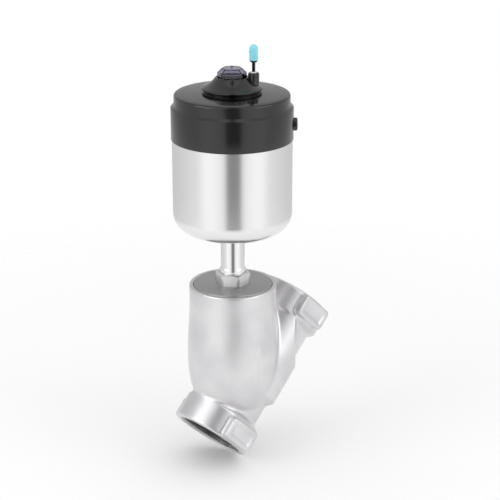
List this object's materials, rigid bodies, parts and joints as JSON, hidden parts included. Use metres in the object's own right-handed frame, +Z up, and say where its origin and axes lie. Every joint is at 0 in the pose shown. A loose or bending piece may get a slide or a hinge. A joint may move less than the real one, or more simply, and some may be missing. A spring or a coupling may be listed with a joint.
{
  "type": "angle seat valve",
  "caption": "Threaded angle seat valve: slanted cast body, screwed bonnet, polished neck tube and a spring-closed piston actuator with clear position indicator and vent silencer.",
  "frame": {"origin": "centre of the inlet port's face, on the pipe axis", "axes": "+Z up the stem from the plug to the indicator; the pipe axis lies in the XZ plane, 45 degrees from Z, and runs from the inlet at the origin towards +X and +Z; Y is square to the plane of both axes"},
  "size_m": [0.1546, 0.104, 0.3744],
  "materials": {
    "cast_steel": "blasted stainless casting, satin",
    "machined_steel": "turned stainless steel",
    "polished_tube": "polished stainless tube",
    "cup_steel": "fine brushed drawn stainless",
    "spring_steel": "bare spring wire",
    "aluminium": "anodised aluminium",
    "black_plastic": "black moulded plastic, soft sheen",
    "black_rubber": "black seal rubber",
    "ptfe": "white fluoropolymer",
    "bush_bronze": "bearing bronze",
    "gasket_fibre": "flat gasket sheet",
    "clear_dome": "clear plastic",
    "indicator_gold": "yellow anodised",
    "indicator_cream": "cream plastic",
    "white_plastic": "white plastic",
    "cyan_plastic": "light blue plastic"
  },
  "bodies": {
    "valve": {"valve_body": "cast_steel", "body_gasket": "gasket_fibre", "bonnet": "machined_steel", "spigot_tube": "polished_tube", "stem_wiper": "ptfe", "guide_bush": "bush_bronze", "packing_base_ring": "ptfe", "vee_packing": "ptfe", "packing_follower": "machined_steel", "packing_spring": "spring_steel", "upper_guide_bush": "bush_bronze", "tube_seal": "black_rubber", "cup_washer": "machined_steel", "cup_nut": "machined_steel"},
    "actuator": {"actuator_cup": "cup_steel", "actuator_cover": "black_plastic", "cover_o_ring": "black_rubber", "cylinder_liner": "aluminium", "air_port_insert": "black_plastic", "indicator_housing": "black_plastic", "sight_dome": "clear_dome", "main_spring": "spring_steel", "inner_spring": "spring_steel"},
    "collet": {"vent_collet": "white_plastic"},
    "silencer": {"silencer_stem": "black_plastic", "silencer_cap": "cyan_plastic"},
    "stem": {"stem": "machined_steel", "piston": "aluminium", "piston_seal": "black_rubber", "piston_wear_ring": "ptfe", "piston_o_ring": "black_rubber", "piston_washer": "machined_steel", "piston_nut": "machined_steel", "indicator_rod": "indicator_cream", "indicator_head": "indicator_gold"},
    "plug": {"valve_plug": "machined_steel", "seat_seal": "ptfe", "seal_retainer": "machined_steel", "plug_nut": "machined_steel", "plug_pins": "machined_steel"}
  },
  "joints": [
    {"name": "actuator_turn", "type": "hinge", "parent": "valve", "child": "actuator", "pos_m": [0.02956, 0, 0.18766], "axis": [0, 0, 1], "continuous": true},
    {"name": "stem_lift", "type": "slide", "parent": "valve", "child": "stem", "axis": [0, 0, 1], "range_m": [0, 0.014], "stiffness_N_per_m": 8500, "deforming": ["main_spring", "inner_spring"]},
    {"name": "plug_swivel", "type": "hinge", "parent": "stem", "child": "plug", "pos_m": [0.02956, 0, 0.06856], "axis": [0, 0, 1], "continuous": true},
    {"name": "collet_press", "type": "slide", "parent": "actuator", "child": "collet", "axis": [0, 0, -1], "range_m": [0, 0.0007], "stiffness_N_per_m": 300},
    {"name": "silencer_pull", "type": "slide", "parent": "actuator", "child": "silencer", "axis": [0, 0, 1], "range_m": [0, 0.012]}
  ]
}
